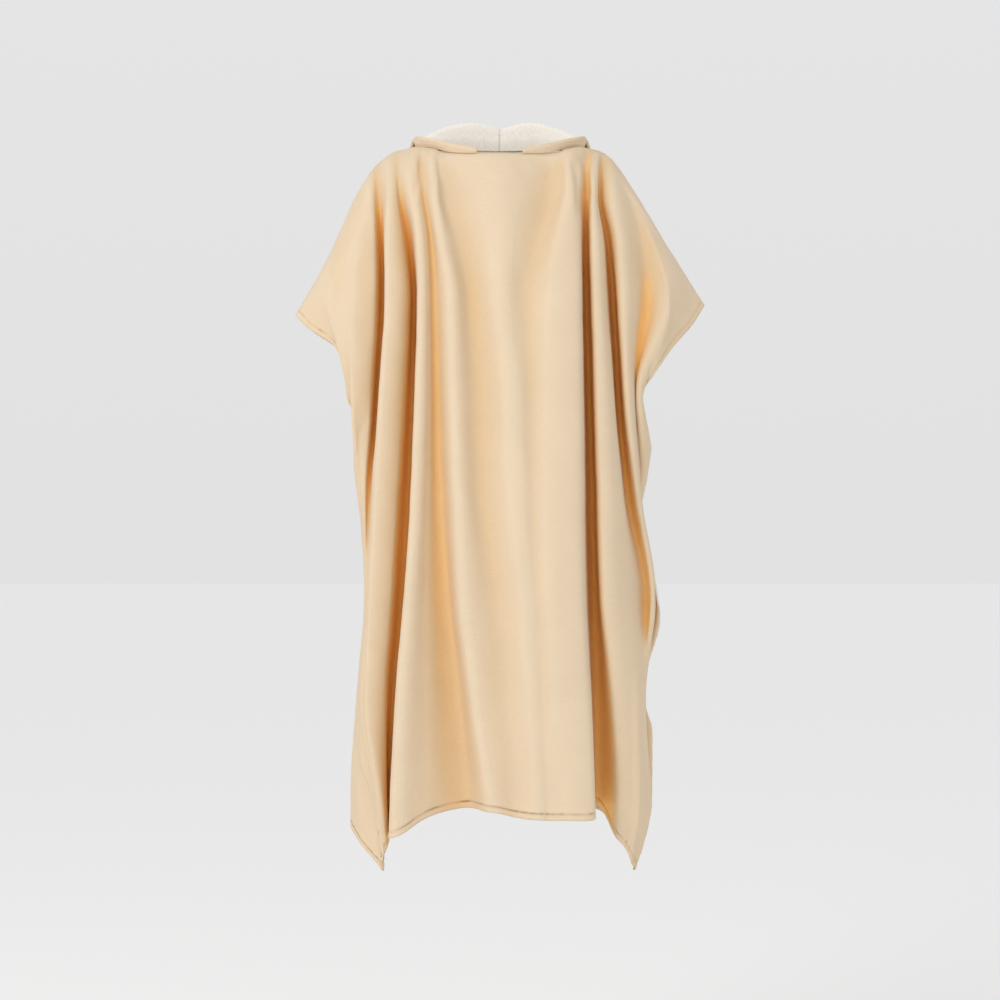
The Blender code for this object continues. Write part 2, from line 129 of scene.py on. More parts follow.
FRONT_FOLDS = (
    Fold("left sleeve drape", (-26.4, -0.1, -17.7), -107.4,
         (-26.4, -26.4, -25.6, -22.0, -21.2, -19.4, -20.9, -18.4, -17.2),
         (-3.0, -4.0, -5.2, -6.4, -3.0, -2.6, -5.0, -7.6, -8.9)),
    Fold("left sleeve ridge", (-21.7, -0.1, -7.5), -106.6,
         (-21.7, -21.7, -22.2, -21.8, -20.6, -19.8, -20.8, -18.2, -17.0),
         (-3.0, -5.4, -6.6, -7.2, -4.6, -4.8, -6.6, -8.1, -9.0)),
    Fold("left sleeve fall", (-19.6, -0.1, -4.1), -106.0,
         (-19.4, -18.9, -18.8, -19.4, -20.2, -19.9, -20.6, -18.1, -16.9),
         (-4.8, -5.8, -6.4, -6.4, -5.4, -5.9, -7.4, -8.3, -9.0)),
    Fold("left arm valley", (-18.6, -0.1, -2.9), -105.6,
         (-18.0, -17.7, -17.5, -18.3, -19.5, -19.6, -20.2, -18.0, -16.8),
         (-4.2, -3.4, -2.8, -3.0, -4.6, -6.4, -7.6, -8.4, -9.0)),
    Fold("left outer ridge", (-17.3, -0.1, -1.6), -105.0,
         (-16.5, -16.6, -16.5, -17.4, -18.2, -19.0, -19.6, -17.6, -16.6),
         (-7.4, -9.0, -9.8, -9.8, -9.2, -8.8, -8.8, -8.6, -8.8)),
    Fold("left outer fall", (-16.4, -0.1, -1.0), -103.8,
         (-15.5, -14.6, -13.9, -14.6, -15.5, -16.4, -17.3, -16.9, -16.4),
         (-7.2, -8.2, -8.6, -8.6, -8.4, -8.2, -8.0, -7.4, -7.4)),
    Fold("left deep valley", (-15.6, -0.1, -0.7), -103.0,
         (-14.8, -13.4, -12.8, -13.1, -13.8, -14.7, -15.9, -16.4, -16.4),
         (-6.4, -5.6, -4.8, -4.4, -4.2, -4.0, -3.8, -3.6, -3.4)),
    Fold("left body ridge", (-14.5, -0.1, -0.4), -102.5,
         (-12.9, -12.0, -11.7, -12.0, -12.6, -13.5, -14.6, -15.3, -15.6),
         (-8.6, -10.4, -11.5, -12.6, -13.1, -13.5, -13.9, -14.2, -14.4)),
    Fold("left body plane", (-13.2, -0.8, -0.1), -99.8,
         (-12.0, -11.0, -10.6, -10.5, -10.7, -10.9, -10.9, -10.6, -10.8),
         (-8.5, -10.0, -10.9, -11.5, -11.6, -11.5, -11.4, -11.6, -11.8)),
    Fold("left soft valley", (-12.2, -1.4, -0.1), -98.7,
         (-11.1, -10.1, -9.7, -9.4, -8.8, -7.8, -6.4, -5.2, -4.6),
         (-7.8, -9.1, -9.8, -10.2, -10.0, -9.4, -9.0, -8.9, -9.0)),
    Fold("left chest ridge", (-10.0, -3.3, -0.6), -98.9,
         (-9.5, -8.4, -7.1, -6.6, -6.0, -5.2, -3.4, -1.2, 0.2),
         (-9.5, -11.1, -12.3, -13.2, -13.6, -13.8, -14.0, -14.2, -14.3)),
    Fold("left drag line", (-8.0, -4.6, -1.3), -99.7,
         (-7.8, -5.6, -4.2, -3.0, -2.6, -0.5, 1.1, 2.4, 3.4),
         (-8.0, -9.3, -10.3, -11.1, -11.8, -12.5, -13.1, -13.6, -13.8)),
    Fold("centre", (-1.0, -6.3, -1.6), -99.9,
         (0.0, 0.0, 0.2, 1.8, 2.2, 3.6, 4.6, 5.6, 6.4),
         (-9.8, -11.5, -12.8, -13.6, -14.1, -14.5, -14.9, -15.1, -15.3)),
    Fold("right drag line", (7.6, -4.8, -1.4), -100.0,
         (7.3, 5.6, 4.1, 4.6, 4.8, 5.7, 6.4, 7.3, 8.1),
         (-7.3, -9.5, -11.4, -12.8, -13.5, -14.2, -14.6, -14.8, -15.0)),
    Fold("right chest ridge", (10.0, -3.3, -0.6), -100.0,
         (9.9, 8.7, 7.7, 7.0, 7.0, 7.7, 8.3, 9.6, 10.6),
         (-9.4, -11.3, -12.7, -13.6, -14.1, -14.4, -14.7, -14.8, -14.9)),
    Fold("right body edge", (12.0, -1.4, -0.1), -100.0,
         (11.6, 11.5, 11.5, 11.6, 11.7, 12.0, 12.9, 13.6, 14.0),
         (-8.4, -10.4, -11.6, -12.4, -12.8, -13.1, -13.5, -13.8, -14.0)),
    Fold("right deep valley", (13.3, -0.1, -0.2), -98.8,
         (12.9, 12.8, 12.9, 13.3, 13.7, 14.1, 14.5, 14.6, 14.7),
         (-6.0, -5.6, -5.0, -4.8, -4.6, -4.4, -4.0, -3.6, -3.2)),
    Fold("right outer ridge", (14.3, -0.1, -0.6), -103.8,
         (13.7, 13.8, 14.0, 14.5, 15.0, 15.5, 17.0, 17.8, 17.6),
         (-7.8, -9.4, -10.2, -10.6, -10.6, -10.4, -9.0, -7.6, -6.4)),
    Fold("right outer fall", (14.9, -0.1, -0.8), -105.2,
         (14.3, 15.1, 15.6, 16.7, 17.8, 19.0, 19.7, 19.4, 18.4),
         (-7.2, -8.2, -8.6, -8.8, -8.4, -7.6, -7.8, -7.4, -6.4)),
    Fold("right arm valley", (15.6, -0.1, -1.1), -106.6,
         (14.9, 16.2, 17.0, 17.8, 19.2, 21.7, 20.8, 20.6, 19.0),
         (-5.0, -4.4, -3.4, -3.2, -3.0, -2.6, -6.8, -7.3, -6.3)),
    Fold("right sleeve ridge", (17.0, -0.1, -2.0), -107.5,
         (16.8, 17.8, 18.1, 18.8, 20.6, 22.8, 21.4, 21.5, 19.4),
         (-6.8, -8.0, -8.6, -8.0, -5.4, -4.0, -4.8, -5.6, -5.7)),
    Fold("right sleeve valley", (19.8, -0.1, -6.0), -107.9,
         (19.8, 21.5, 22.0, 20.2, 21.0, 23.2, 21.7, 22.3, 19.7),
         (-4.2, -4.6, -4.8, -5.6, -3.4, -2.9, -3.2, -4.2, -5.5)),
    Fold("right sleeve drape", (24.5, -0.1, -13.9), -108.1,
         (24.5, 24.5, 25.0, 20.6, 21.2, 23.4, 21.6, 22.6, 19.9),
         (-3.0, -4.8, -6.6, -6.4, -1.8, -1.5, -1.4, -3.0, -5.1)),
)

# A crease pressed into the cloth: from and to as (across, height) in centimetres,
# its half width in centimetres and its rise in millimetres; a trough's rise is below zero.
Crease = namedtuple("Crease", "start end width rise")

FRONT_CREASES = (
    Crease((-22.6, -11.5), (-27.0, -28.5), 1.1, -1.6),
    Crease((-24.6, -15.0), (-25.2, -27.5), 0.9, 1.2),
    Crease((-20.6, -9.0), (-22.2, -33.0), 1.0, 1.4),
    Crease((23.2, -12.5), (26.2, -27.0), 1.2, -1.4),
    Crease((21.5, -10.0), (24.0, -31.0), 1.0, 1.3),
    Crease((-6.3, -2.0), (-7.0, -5.6), 0.5, -1.7),
    Crease((-4.4, -2.2), (-4.7, -4.8), 0.42, -1.3),
    Crease((-2.7, -2.2), (-3.0, -6.2), 0.55, -1.9),
    Crease((-1.4, -2.3), (-1.3, -4.2), 0.4, -1.2),
    Crease((-0.1, -2.3), (0.0, -5.2), 0.46, -1.6),
    Crease((1.7, -2.3), (1.9, -4.4), 0.42, -1.3),
    Crease((3.1, -2.2), (3.5, -6.0), 0.55, -1.7),
    Crease((5.2, -2.1), (5.6, -4.6), 0.46, -1.3),
    Crease((6.9, -1.9), (7.4, -6.2), 0.55, -1.6),
    Crease((8.6, -1.7), (9.4, -9.0), 0.6, -2.0),
    Crease((10.7, -1.2), (11.9, -12.0), 0.6, -2.8),
    Crease((12.0, -0.8), (13.4, -9.6), 0.55, -2.2),
    Crease((-11.7, -0.9), (-13.0, -9.5), 0.6, -2.2),
    Crease((-9.4, -1.4), (-9.9, -6.5), 0.55, -1.8),
    Crease((-6.0, -44.0), (-3.2, -78.0), 2.2, 1.6),
    Crease((2.8, -30.0), (4.6, -62.0), 2.4, 1.4),
    Crease((9.2, -52.0), (10.4, -92.0), 1.9, -1.6),
    Crease((-9.6, -62.0), (-10.8, -98.0), 1.8, 1.4),
)


def slopes(places, values):
    """Slopes of a smooth curve through values, which never swings past them."""
    steps = np.diff(places)
    rises = np.diff(values) / steps
    inner = np.zeros(len(values))
    same = rises[:-1] * rises[1:] > 0
    weight_a = 2 * steps[1:] + steps[:-1]
    weight_b = steps[1:] + 2 * steps[:-1]
    safe_a = np.where(same, rises[:-1], 1.0)
    safe_b = np.where(same, rises[1:], 1.0)
    mean = (weight_a + weight_b) / (weight_a / safe_a + weight_b / safe_b)
    inner[1:-1] = np.where(same, mean, 0.0)
    inner[0] = rises[0]
    inner[-1] = rises[-1]
    return inner


def hermite(start, end, leave, arrive, t):
    square = t * t
    cube = square * t
    return (
        start * (2 * cube - 3 * square + 1)
        + leave * (cube - 2 * square + t)
        + end * (3 * square - 2 * cube)
        + arrive * (cube - square)
    )


def smooth(wanted, places, values):
    places = np.asarray(places, float)
    values = np.asarray(values, float)
    tilt = slopes(places, values)
    cell = np.clip(np.searchsorted(places, wanted) - 1, 0, len(places) - 2)
    width = places[cell + 1] - places[cell]
    t = (wanted - places[cell]) / width
    return hermite(values[cell], values[cell + 1], tilt[cell] * width, tilt[cell + 1] * width, t)


def fold_line(fold, drop):
    """Points of one fold from its top edge to the hem, turning over the shoulder as a round."""
    across, depth, height = fold.top
    z = height + (fold.hem - height) * drop
    kept = [n for n, level in enumerate(LEVELS) if -level < height - SHOULDER_CLEAR]
    places = np.sqrt([0.0] + [height + LEVELS[n] for n in kept])
    wanted = np.sqrt(height - z)
    x = smooth(wanted, places, [across] + [fold.across[n] for n in kept])
    y = smooth(wanted, places, [depth] + [fold.depth[n] for n in kept])
    return np.stack([x, y, z], axis=1)


def edge_line(edges, side, drop):
    """Points of one side edge of a panel, from its top to the hem."""
    heights = np.array([edge.height for edge in edges])
    z = heights[0] + (heights[-1] - heights[0]) * drop
    x = smooth(-z, -heights, [edge.across for edge in edges])
    y = smooth(-z, -heights, [getattr(edge, side) for edge in edges])
    return np.stack([x, y, z], axis=1)


def across_directions(lines, facing, drop):
    """How each section passes the fold lines: level at a ridge or valley, curling round at it."""
    count = len(lines)
    leave = np.zeros_like(lines)
    for n in range(1, count - 1):
        before = lines[n, :, 1] - lines[n - 1, :, 1]
        after = lines[n + 1, :, 1] - lines[n, :, 1]
        turns = before * after < 0
        gentle = 2 * np.minimum(np.abs(before), np.abs(after))
        leave[n] = (lines[n + 1] - lines[n - 1]) * 0.5
        leave[n, :, 0] += CURL * 0.5 * (np.abs(before) + np.abs(after)) * turns
        leave[n, :, 1] = np.clip(leave[n, :, 1], -gentle, gentle) * ~turns
    wrap = np.clip((drop - SIDE_TURN_START) / SIDE_TURN_RUN, 0, 1)[:, None]
    for end, other, sign in ((0, 1, 1.0), (count - 1, count - 2, -1.0)):
        chord = (lines[other] - lines[end]) * sign
        size = np.linalg.norm(chord, axis=1, keepdims=True)
        around = np.array([[0.0, facing * sign, 0.0]]) * size
        leave[end] = chord * (1 - wrap) + (SIDE_LEAN * chord + around) * wrap
    return leave


def fine_edges(count, near, far, band):
    """Shares from 0 to 1, with extra ones close to the ends, where a hem needs them."""
    shares = np.linspace(0, 1, count + 1)
    close = np.linspace(0, band, HEM_ROWS + 1)[1:]
    parts = [shares]
    if near:
        parts.append(close)
    if far:
        parts.append(1 - close)
    return np.unique(np.concatenate(parts).round(6))


def panel_points(folds, side):
    """The panel's middle surface, columns across by rows down, in metres, before its creases."""
    step = fine_edges(PANEL_ROWS, False, True, FOOT_BAND)
    drop = step * (step + TOP_BIAS) / (1 + TOP_BIAS)
    facing = -1.0 if side == "front" else 1.0
    lines = [edge_line(LEFT_EDGE, side, drop)]
    lines += [fold_line(fold, drop) for fold in folds]
    lines += [edge_line(RIGHT_EDGE, side, drop)]
    lines = np.array(lines)
    lap = SEAM_LAP / 2 + SHOULDER_LAP * np.exp(-drop / SHOULDER_LAP_RUN)
    lines[:, :, 1] -= facing * lap / CM
    leave = across_directions(lines, facing, drop)
    columns = [lines[0]]
    for n in range(len(lines) - 1):
        shares = fine_edges(PANEL_FINENESS, n == 0, n == len(lines) - 2, SIDE_BAND)
        for t in shares[1:]:
            columns.append(hermite(lines[n], lines[n + 1], leave[n], leave[n + 1], t))
    return np.array(columns) * CM


def run_lengths(points, axis):
    """Distance along the cloth from the first line, averaged over the panel."""
    hops = np.linalg.norm(np.diff(points, axis=axis), axis=2)
    mean = hops.mean(axis=1 - axis)
    return np.concatenate([[0.0], np.cumsum(mean)])


def normals_of(points):
    """Unit normals of a grid of points, each pointing the way its columns and rows turn."""
    down = np.gradient(points, axis=1)
    over = np.gradient(points, axis=0)
    normal = np.cross(over, down)
    return normal / np.maximum(np.linalg.norm(normal, axis=2, keepdims=True), 1e-12)


def pressed(points, creases):
    """Rise of the creases at each point, in metres, soft at both ends and across."""
    rise = np.zeros(points.shape[:2])
    flat = points[:, :, [0, 2]] / CM
    for crease in creases:
        start = np.array(crease.start)
        run = np.array(crease.end) - start
        length = np.linalg.norm(run)
        away = flat - start
        along = away @ run / length**2
        side = (away[:, :, 0] * run[1] - away[:, :, 1] * run[0]) / length
        side = side + 0.35 * crease.width * np.sin(along * 5.0 + crease.width * 9.0)
        ends = np.clip(along / 0.25, 0, 1) * np.clip((1 - along) / 0.3, 0, 1)
        ends = ends * ends * (3 - 2 * ends)
        rise += crease.rise * MM * ends * np.exp(-((side / crease.width) ** 2))
    return rise


def slack(points, seed):
    """The small unevenness of hanging towelling: long shallow waves, mostly upright."""
    x = points[:, :, 0] * 100
    z = points[:, :, 2] * 100
    wave = 0.55 * np.sin(0.52 * x + 0.05 * z + seed) * np.sin(0.09 * z + 1.7 * seed)
    wave += 0.35 * np.sin(0.95 * x - 0.11 * z + 2.3 * seed) * np.sin(0.16 * z + 0.6 + seed)
    wave += 0.22 * np.sin(1.7 * x + 0.31 * z + 0.4 * seed) * np.sin(0.33 * z + 2.1 * seed)
    wave += 0.12 * np.sin(0.6 * x + 1.3 * z + 3.1 * seed) * np.sin(1.1 * x - 0.4 * z)
    return wave * MM


def sheltered(points, facing):
    """How deep in a fold each point of a row lies: 0 in the open, 1 shut in on both sides. It sets the
    painted shade of the cloth's colour.
    """
    x = points[:, :, 0].T
    out = points[:, :, 1].T * facing
    rise = out[:, None, :] - out[:, :, None]
    run = np.abs(x[:, None, :] - x[:, :, None]) + 1 * MM
    wall = np.arctan2(np.where(run < SHELTER_REACH, rise, 0.0), run)
    count = x.shape[1]
    before = np.tril(np.ones((count, count)), -1)
    left = np.max(wall * before, axis=2)
    right = np.max(wall * (1 - before), axis=2)
    return (1.5 * np.minimum(left, right) + 0.25 * (left + right)).T / np.pi


def at_stitches(distance):
    """1 on the stitch line of a hem, falling off softly to either side."""
    return np.exp(-(((distance - STITCH_LINE) / HEM_GROOVE_WIDTH) ** 2))


def hem_rise(distance):
    """How a turned hem stands: a shallow groove at its stitching, and a slight rise beyond."""
    body = HEM_BODY * np.clip((STITCH_LINE - distance) / (3 * MM), 0, 1)
    return body - HEM_GROOVE * at_stitches(distance)


def hem_shade(distance):
    """Painted shade in the stitched groove of a hem, which is a little sheltered too."""
    return HEM_SHADE * at_stitches(distance)


def cloth_sheet(name, points, across, down, outward, hem, shade, materials):
    """A piece of cloth on a grid of points, with its own map in metres.

    A turned hem shows the outside of the cloth on both of its faces.
    """
    columns, rows = points.shape[0] - 1, points.shape[1] - 1
    mesh = bpy.data.meshes.new(name)
    grid = bmesh.new()
    bmesh.ops.create_grid(grid, x_segments=columns, y_segments=rows, size=1.0)
    map_layer = grid.loops.layers.uv.new("cloth")
    place = {}
    for vert in grid.verts:
        column = round((vert.co.x + 1) / 2 * columns)
        row = round((1 - vert.co.y) / 2 * rows)
        place[vert.index] = (column, row)
        vert.co = points[column, row]
    for face in grid.faces:
        face.smooth = True
        turned = np.mean([hem[place[vert.index]] for vert in face.verts]) > 0.5
        face.material_index = 2 if turned else 0
        for loop in face.loops:
            column, row = place[loop.vert.index]
            loop[map_layer].uv = (across[column], -down[row])
    if not outward:
        bmesh.ops.reverse_faces(grid, faces=grid.faces)
    order = np.array([place[vert.index] for vert in grid.verts])
    grid.to_mesh(mesh)
    grid.free()
    outside, inside = materials
    for material in (outside, inside, outside, outside):
        mesh.materials.append(material)
    # The fold attribute carries painted shade: the cloth's colour turns darker and more orange where it is
    # high.
    fold = mesh.attributes.new("fold", "FLOAT", "POINT")
    fold.data.foreach_set("value", shade[order[:, 0], order[:, 1]].astype(np.float32))
    sheet = bpy.data.objects.new(name, mesh)
    bpy.context.scene.collection.objects.link(sheet)
    wall = sheet.modifiers.new("wall", "SOLIDIFY")
    wall.thickness = WALL
    wall.offset = 0.0
    wall.use_rim = True
    wall.material_offset = 1
    wall.material_offset_rim = 0
    return sheet


def bump_chain(tree, height, strength, distance, normal=None):
    """A bump on top of the normal given, if there is one."""
    bump = tree.nodes.new("ShaderNodeBump")
    bump.inputs["Strength"].default_value = strength
    bump.inputs["Distance"].default_value = distance
    tree.links.new(height, bump.inputs["Height"])
    if normal is not None:
        tree.links.new(normal, bump.inputs["Normal"])
    return bump.outputs["Normal"]


def noise(tree, vector, scale, detail=3.0, roughness=0.5):
    node = tree.nodes.new("ShaderNodeTexNoise")
    node.inputs["Scale"].default_value = scale
    node.inputs["Detail"].default_value = detail
    node.inputs["Roughness"].default_value = roughness
    tree.links.new(vector, node.inputs["Vector"])
    return node.outputs["Fac"]


def stretched(tree, vector, scale):
    node = tree.nodes.new("ShaderNodeMapping")
    node.inputs["Scale"].default_value = scale
    tree.links.new(vector, node.inputs["Vector"])
    return node.outputs["Vector"]


def waves(tree, vector, scale, direction, distortion):
    node = tree.nodes.new("ShaderNodeTexWave")
    node.wave_type = "BANDS"
    node.bands_direction = direction
    node.wave_profile = "SIN"
    node.inputs["Scale"].default_value = scale
    node.inputs["Distortion"].default_value = distortion
    node.inputs["Detail"].default_value = 2.0
    node.inputs["Detail Scale"].default_value = 1.5
    tree.links.new(vector, node.inputs["Vector"])
    return node.outputs["Fac"]


def ramp(tree, value, low, high, low_colour, high_colour):
    node = tree.nodes.new("ShaderNodeValToRGB")
    node.color_ramp.elements[0].position = low
    node.color_ramp.elements[0].color = low_colour
    node.color_ramp.elements[1].position = high
    node.color_ramp.elements[1].color = high_colour
    tree.links.new(value, node.inputs["Fac"])
    return node.outputs["Color"]


def mixed(tree, mode, factor, first, second):
    node = tree.nodes.new("ShaderNodeMix")
    node.data_type = "RGBA"
    node.blend_type = mode
    node.inputs["Factor"].default_value = factor
    tree.links.new(first, node.inputs["A"])
    tree.links.new(second, node.inputs["B"])
    return node.outputs["Result"]


def grey(value):
    return (value, value, value, 1.0)


def painted_fold_shade(tree, stops):
    """Painted shade: cloth colour by how deep in a fold it lies, darker and more orange deep in, standing in
    for the warm light kept between folds.
    """
    depth = tree.nodes.new("ShaderNodeAttribute")
    depth.attribute_name = "fold"
    node = tree.nodes.new("ShaderNodeValToRGB")
    node.color_ramp.interpolation = "B_SPLINE"
    while len(node.color_ramp.elements) < len(stops):
        node.color_ramp.elements.new(0.5)
    for element, (place, colour) in zip(node.color_ramp.elements, stops):
        element.position = place
        element.color = colour
    tree.links.new(depth.outputs["Fac"], node.inputs["Fac"])
    return node.outputs["Color"]


def weave_material(name, stops):
    """Flat-woven cotton: fine cross ribs of slubbed yarn, with thicker threads here and there."""
    material = bpy.data.materials.new(name)
    material.use_nodes = True
    tree = material.node_tree
    shader = tree.nodes["Principled BSDF"]
    cloth = tree.nodes.new("ShaderNodeUVMap")
    cloth.uv_map = "cloth"
    ribs = waves(tree, cloth.outputs["UV"], 210.0, "Y", 0.8)
    threads = waves(tree, cloth.outputs["UV"], 260.0, "X", 0.8)
    slubs = noise(tree, stretched(tree, cloth.outputs["UV"], (70.0, 620.0, 1.0)), 1.0, 3.0, 0.6)
    nubs = noise(tree, cloth.outputs["UV"], 420.0, 3.0, 0.6)
    drift = noise(tree, cloth.outputs["UV"], 14.0, 4.0, 0.6)
    cloudy = ramp(tree, drift, 0.3, 0.7, grey(0.965), grey(1.0))
    streaks = ramp(tree, slubs, 0.3, 0.72, grey(0.955), grey(1.0))
    specks = ramp(tree, nubs, 0.34, 0.62, grey(0.965), grey(1.0))
    lines = ramp(tree, ribs, 0.1, 0.8, grey(0.955), grey(1.0))
    # Base colour: the cloth's own peach with painted shade in its folds, then the weave's tone.
    colour = mixed(tree, "MULTIPLY", 1.0, painted_fold_shade(tree, stops), cloudy)
    colour = mixed(tree, "MULTIPLY", 1.0, colour, streaks)
    colour = mixed(tree, "MULTIPLY", 1.0, colour, specks)
    colour = mixed(tree, "MULTIPLY", 1.0, colour, lines)
    tree.links.new(colour, shader.inputs["Base Color"])
    normal = bump_chain(tree, slubs, 0.16, 0.5 * MM)
    normal = bump_chain(tree, ribs, 0.22, 0.3 * MM, normal)
    normal = bump_chain(tree, threads, 0.16, 0.2 * MM, normal)
    normal = bump_chain(tree, nubs, 0.2, 0.4 * MM, normal)
    tree.links.new(normal, shader.inputs["Normal"])
    shader.inputs["Roughness"].default_value = 0.92
    shader.inputs["Specular IOR Level"].default_value = 0.2
    shader.inputs["Sheen Weight"].default_value = 0.12
    shader.inputs["Sheen Roughness"].default_value = 0.5
    return material


def terry_material(name, deep, pale):
    """Terry pile: close rows of small upright loops, off white and lightly shadowed between."""
    material = bpy.data.materials.new(name)
    material.use_nodes = True
    tree = material.node_tree
    shader = tree.nodes["Principled BSDF"]
    cloth = tree.nodes.new("ShaderNodeUVMap")
    cloth.uv_map = "cloth"
    loops = tree.nodes.new("ShaderNodeTexVoronoi")
    loops.inputs["Scale"].default_value = 560.0
    loops.inputs["Randomness"].default_value = 0.8
    tree.links.new(stretched(tree, cloth.outputs["UV"], (1.0, 0.8, 1.0)), loops.inputs["Vector"])
    tufts = noise(tree, cloth.outputs["UV"], 190.0, 4.0, 0.65)
    drift = noise(tree, cloth.outputs["UV"], 9.0, 3.0, 0.5)
    base = ramp(tree, drift, 0.3, 0.7, deep, pale)
    pits = ramp(tree, loops.outputs["Distance"], 0.1, 0.9, grey(1.0), grey(0.86))
    colour = mixed(tree, "MULTIPLY", 1.0, base, pits)
    tree.links.new(colour, shader.inputs["Base Color"])
    normal = bump_chain(tree, tufts, 0.3, 0.9 * MM)
    hollow = ramp(tree, loops.outputs["Distance"], 0.0, 1.0, grey(1.0), grey(0.0))
    normal = bump_chain(tree, hollow, 0.35, 0.7 * MM, normal)
    tree.links.new(normal, shader.inputs["Normal"])
    shader.inputs["Roughness"].default_value = 0.96
    shader.inputs["Specular IOR Level"].default_value = 0.15
    shader.inputs["Sheen Weight"].default_value = 0.4
    shader.inputs["Sheen Roughness"].default_value = 0.6
    return material


def to_last_row(points):
    """Distance of each point from the end of its column, along the cloth."""
    up = np.linalg.norm(np.diff(points, axis=1), axis=2)
    sums = np.cumsum(up[:, ::-1], axis=1)[:, ::-1]
    return np.concatenate([sums, np.zeros((len(points), 1))], axis=1)


def to_sides(points):
    """Distance of each point from the nearer end of its row, along the cloth."""
    over = np.linalg.norm(np.diff(points, axis=0), axis=2)
    start = np.zeros((1, points.shape[1]))
    from_left = np.concatenate([start, np.cumsum(over, axis=0)], axis=0)
    return np.minimum(from_left, from_left[-1:] - from_left)


def make_panel(name, folds, side, creases, seed, materials):
    """One panel: its folds, then its creases, slack, seams and hems pressed along its normals."""
    points = panel_points(folds, side)
    outward = side == "front"
    facing = -1.0 if outward else 1.0
    normal = normals_of(points) * facing
    if np.mean(normal[:, :, 1]) * facing < 0:
        normal = -normal
    from_foot = to_last_row(points)
    from_side = to_sides(points)
    height = points[:, :, 2]
    open_side = height > ARMHOLE_FOOT
    free_edge = np.where(open_side, np.minimum(from_side, from_foot), from_foot)

    in_neck = np.clip((NECK_HALF - np.abs(points[:, :, 0])) / CM, 0, 1)
    from_top = np.where(in_neck > 0, from_foot[:, :1] - from_foot, 1.0)
    from_neck = from_top + (1 - in_neck) + NECK_SEAM_REACH
    seam = np.where(open_side, 0.0, 1.0) * np.exp(-((from_side / SIDE_SEAM_WIDTH) ** 2))

    calm = np.clip(from_side / (2 * CM), 0, 1) * np.clip(-height / (4 * CM), 0, 1)
    rise = pressed(points, creases) + slack(points, seed) * calm
    rise += hem_rise(free_edge) + 0.8 * hem_rise(from_neck)
    run = run_lengths(points, 0)[:, None] / CM + height / CM * np.where(open_side, 1.0, 0.0)
    gather = np.sin(run * 3.9 + seed) * np.sin(run * 0.83 + 2 * seed) + 0.5 * np.sin(run * 2.6)
    rise += 0.5 * MM * gather * np.exp(-(((free_edge - STITCH_LINE) / (5 * MM)) ** 2))
    pucker = np.sin(height / (1.1 * CM) * 2 * np.pi + seed) * np.exp(-from_side / CM)
    rise += (-0.8 * seam + 0.5 * pucker * np.where(open_side, 0.3, 1.0)) * MM
    points = points + normal * rise[:, :, None]

    hem = np.clip((HEM + 1.5 * MM - free_edge) / (3 * MM), 0, 1)
    # Painted shade by how deep in a fold each point lies, weaker on the back.
    shade = sheltered(points, facing) * (1.0 if outward else BACK_SHADE)
    # Painted shade in the hem and neck grooves and along the closed side seams.
    shade += hem_shade(free_edge) + 0.3 * seam + hem_shade(from_neck)
    across = run_lengths(points, 0)
    down = run_lengths(points, 1)
    sheet = cloth_sheet(name, points, across, down, outward, hem, shade, materials)
    return points, normal, sheet


def stitch_path(points, normal, distance, axis, keep):
    """Points and normals of a seam line, one for each line of the grid, at a reach from an edge."""
    path = []
    for n in range(distance.shape[axis]):
        away = np.take(distance, n, axis=axis)
        line = np.take(points, n, axis=axis)
        lift = np.take(normal, n, axis=axis)
        order = np.argsort(away)
        spot = [np.interp(STITCH_LINE, away[order], line[order, k]) for k in range(3)]
        tilt = [np.interp(STITCH_LINE, away[order], lift[order, k]) for k in range(3)]
        if keep(spot):
            path.append(spot + tilt)
    return np.array(path)


def sewn(name, paths, material):
    """A row of lock stitches along each path: short thread beads, sunk a little into the cloth."""
    mesh = bpy.data.meshes.new(name)
    beads = bmesh.new()
    batch = bmesh.new()
    for path in paths:
        spots, tilts = path[:, :3], path[:, 3:]
        run = np.concatenate([[0.0], np.cumsum(np.linalg.norm(np.diff(spots, axis=0), axis=1))])
        for at in np.arange(STITCH_PITCH / 2, run[-1], STITCH_PITCH):
            start = Vector([np.interp(at - 0.1 * MM, run, spots[:, k]) for k in range(3)])
            end = Vector([np.interp(at + 0.1 * MM, run, spots[:, k]) for k in range(3)])
            up = Vector([np.interp(at, run, tilts[:, k]) for k in range(3)]).normalized()
            along = (end - start).normalized()
            over = up.cross(along).normalized()
            frame_of = Matrix((along, over, along.cross(over))).transposed().to_4x4()
            size = Matrix.Diagonal((STITCH_LENGTH / 2, THREAD / 2, THREAD / 2, 1.0))
            spot = Matrix.Translation((start + end) / 2 + up * WALL / 2)
            bmesh.ops.create_uvsphere(
                batch, u_segments=6, v_segments=4, radius=1.0, matrix=spot @ frame_of @ size
            )
            if len(batch.faces) > STITCH_BATCH:
                batch.to_mesh(mesh)
                beads.from_mesh(mesh)
                batch.clear()
        batch.to_mesh(mesh)
        beads.from_mesh(mesh)
        batch.clear()
    batch.free()
    for face in beads.faces:
        face.smooth = True
    beads.to_mesh(mesh)
    beads.free()
    mesh.materials.append(material)
    row = bpy.data.objects.new(name, mesh)
    bpy.context.scene.collection.objects.link(row)
    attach(row, "root")
    return row


def thread_material(name, low, high):
    """Twisted cotton thread, a shade off the cloth."""
    material = bpy.data.materials.new(name)
    material.use_nodes = True
    tree = material.node_tree
    shader = tree.nodes["Principled BSDF"]
    place = tree.nodes.new("ShaderNodeTexCoord")
    twist = noise(tree, place.outputs["Object"], 900.0, 2.0, 0.5)
    tree.links.new(ramp(tree, twist, 0.3, 0.7, low, high), shader.inputs["Base Color"])
    tree.links.new(bump_chain(tree, twist, 0.3, 0.1 * MM), shader.inputs["Normal"])
    shader.inputs["Roughness"].default_value = 0.8
    return material


def everywhere(spot):
    return True


def beside_armhole(spot):
    return spot[2] > ARMHOLE_FOOT


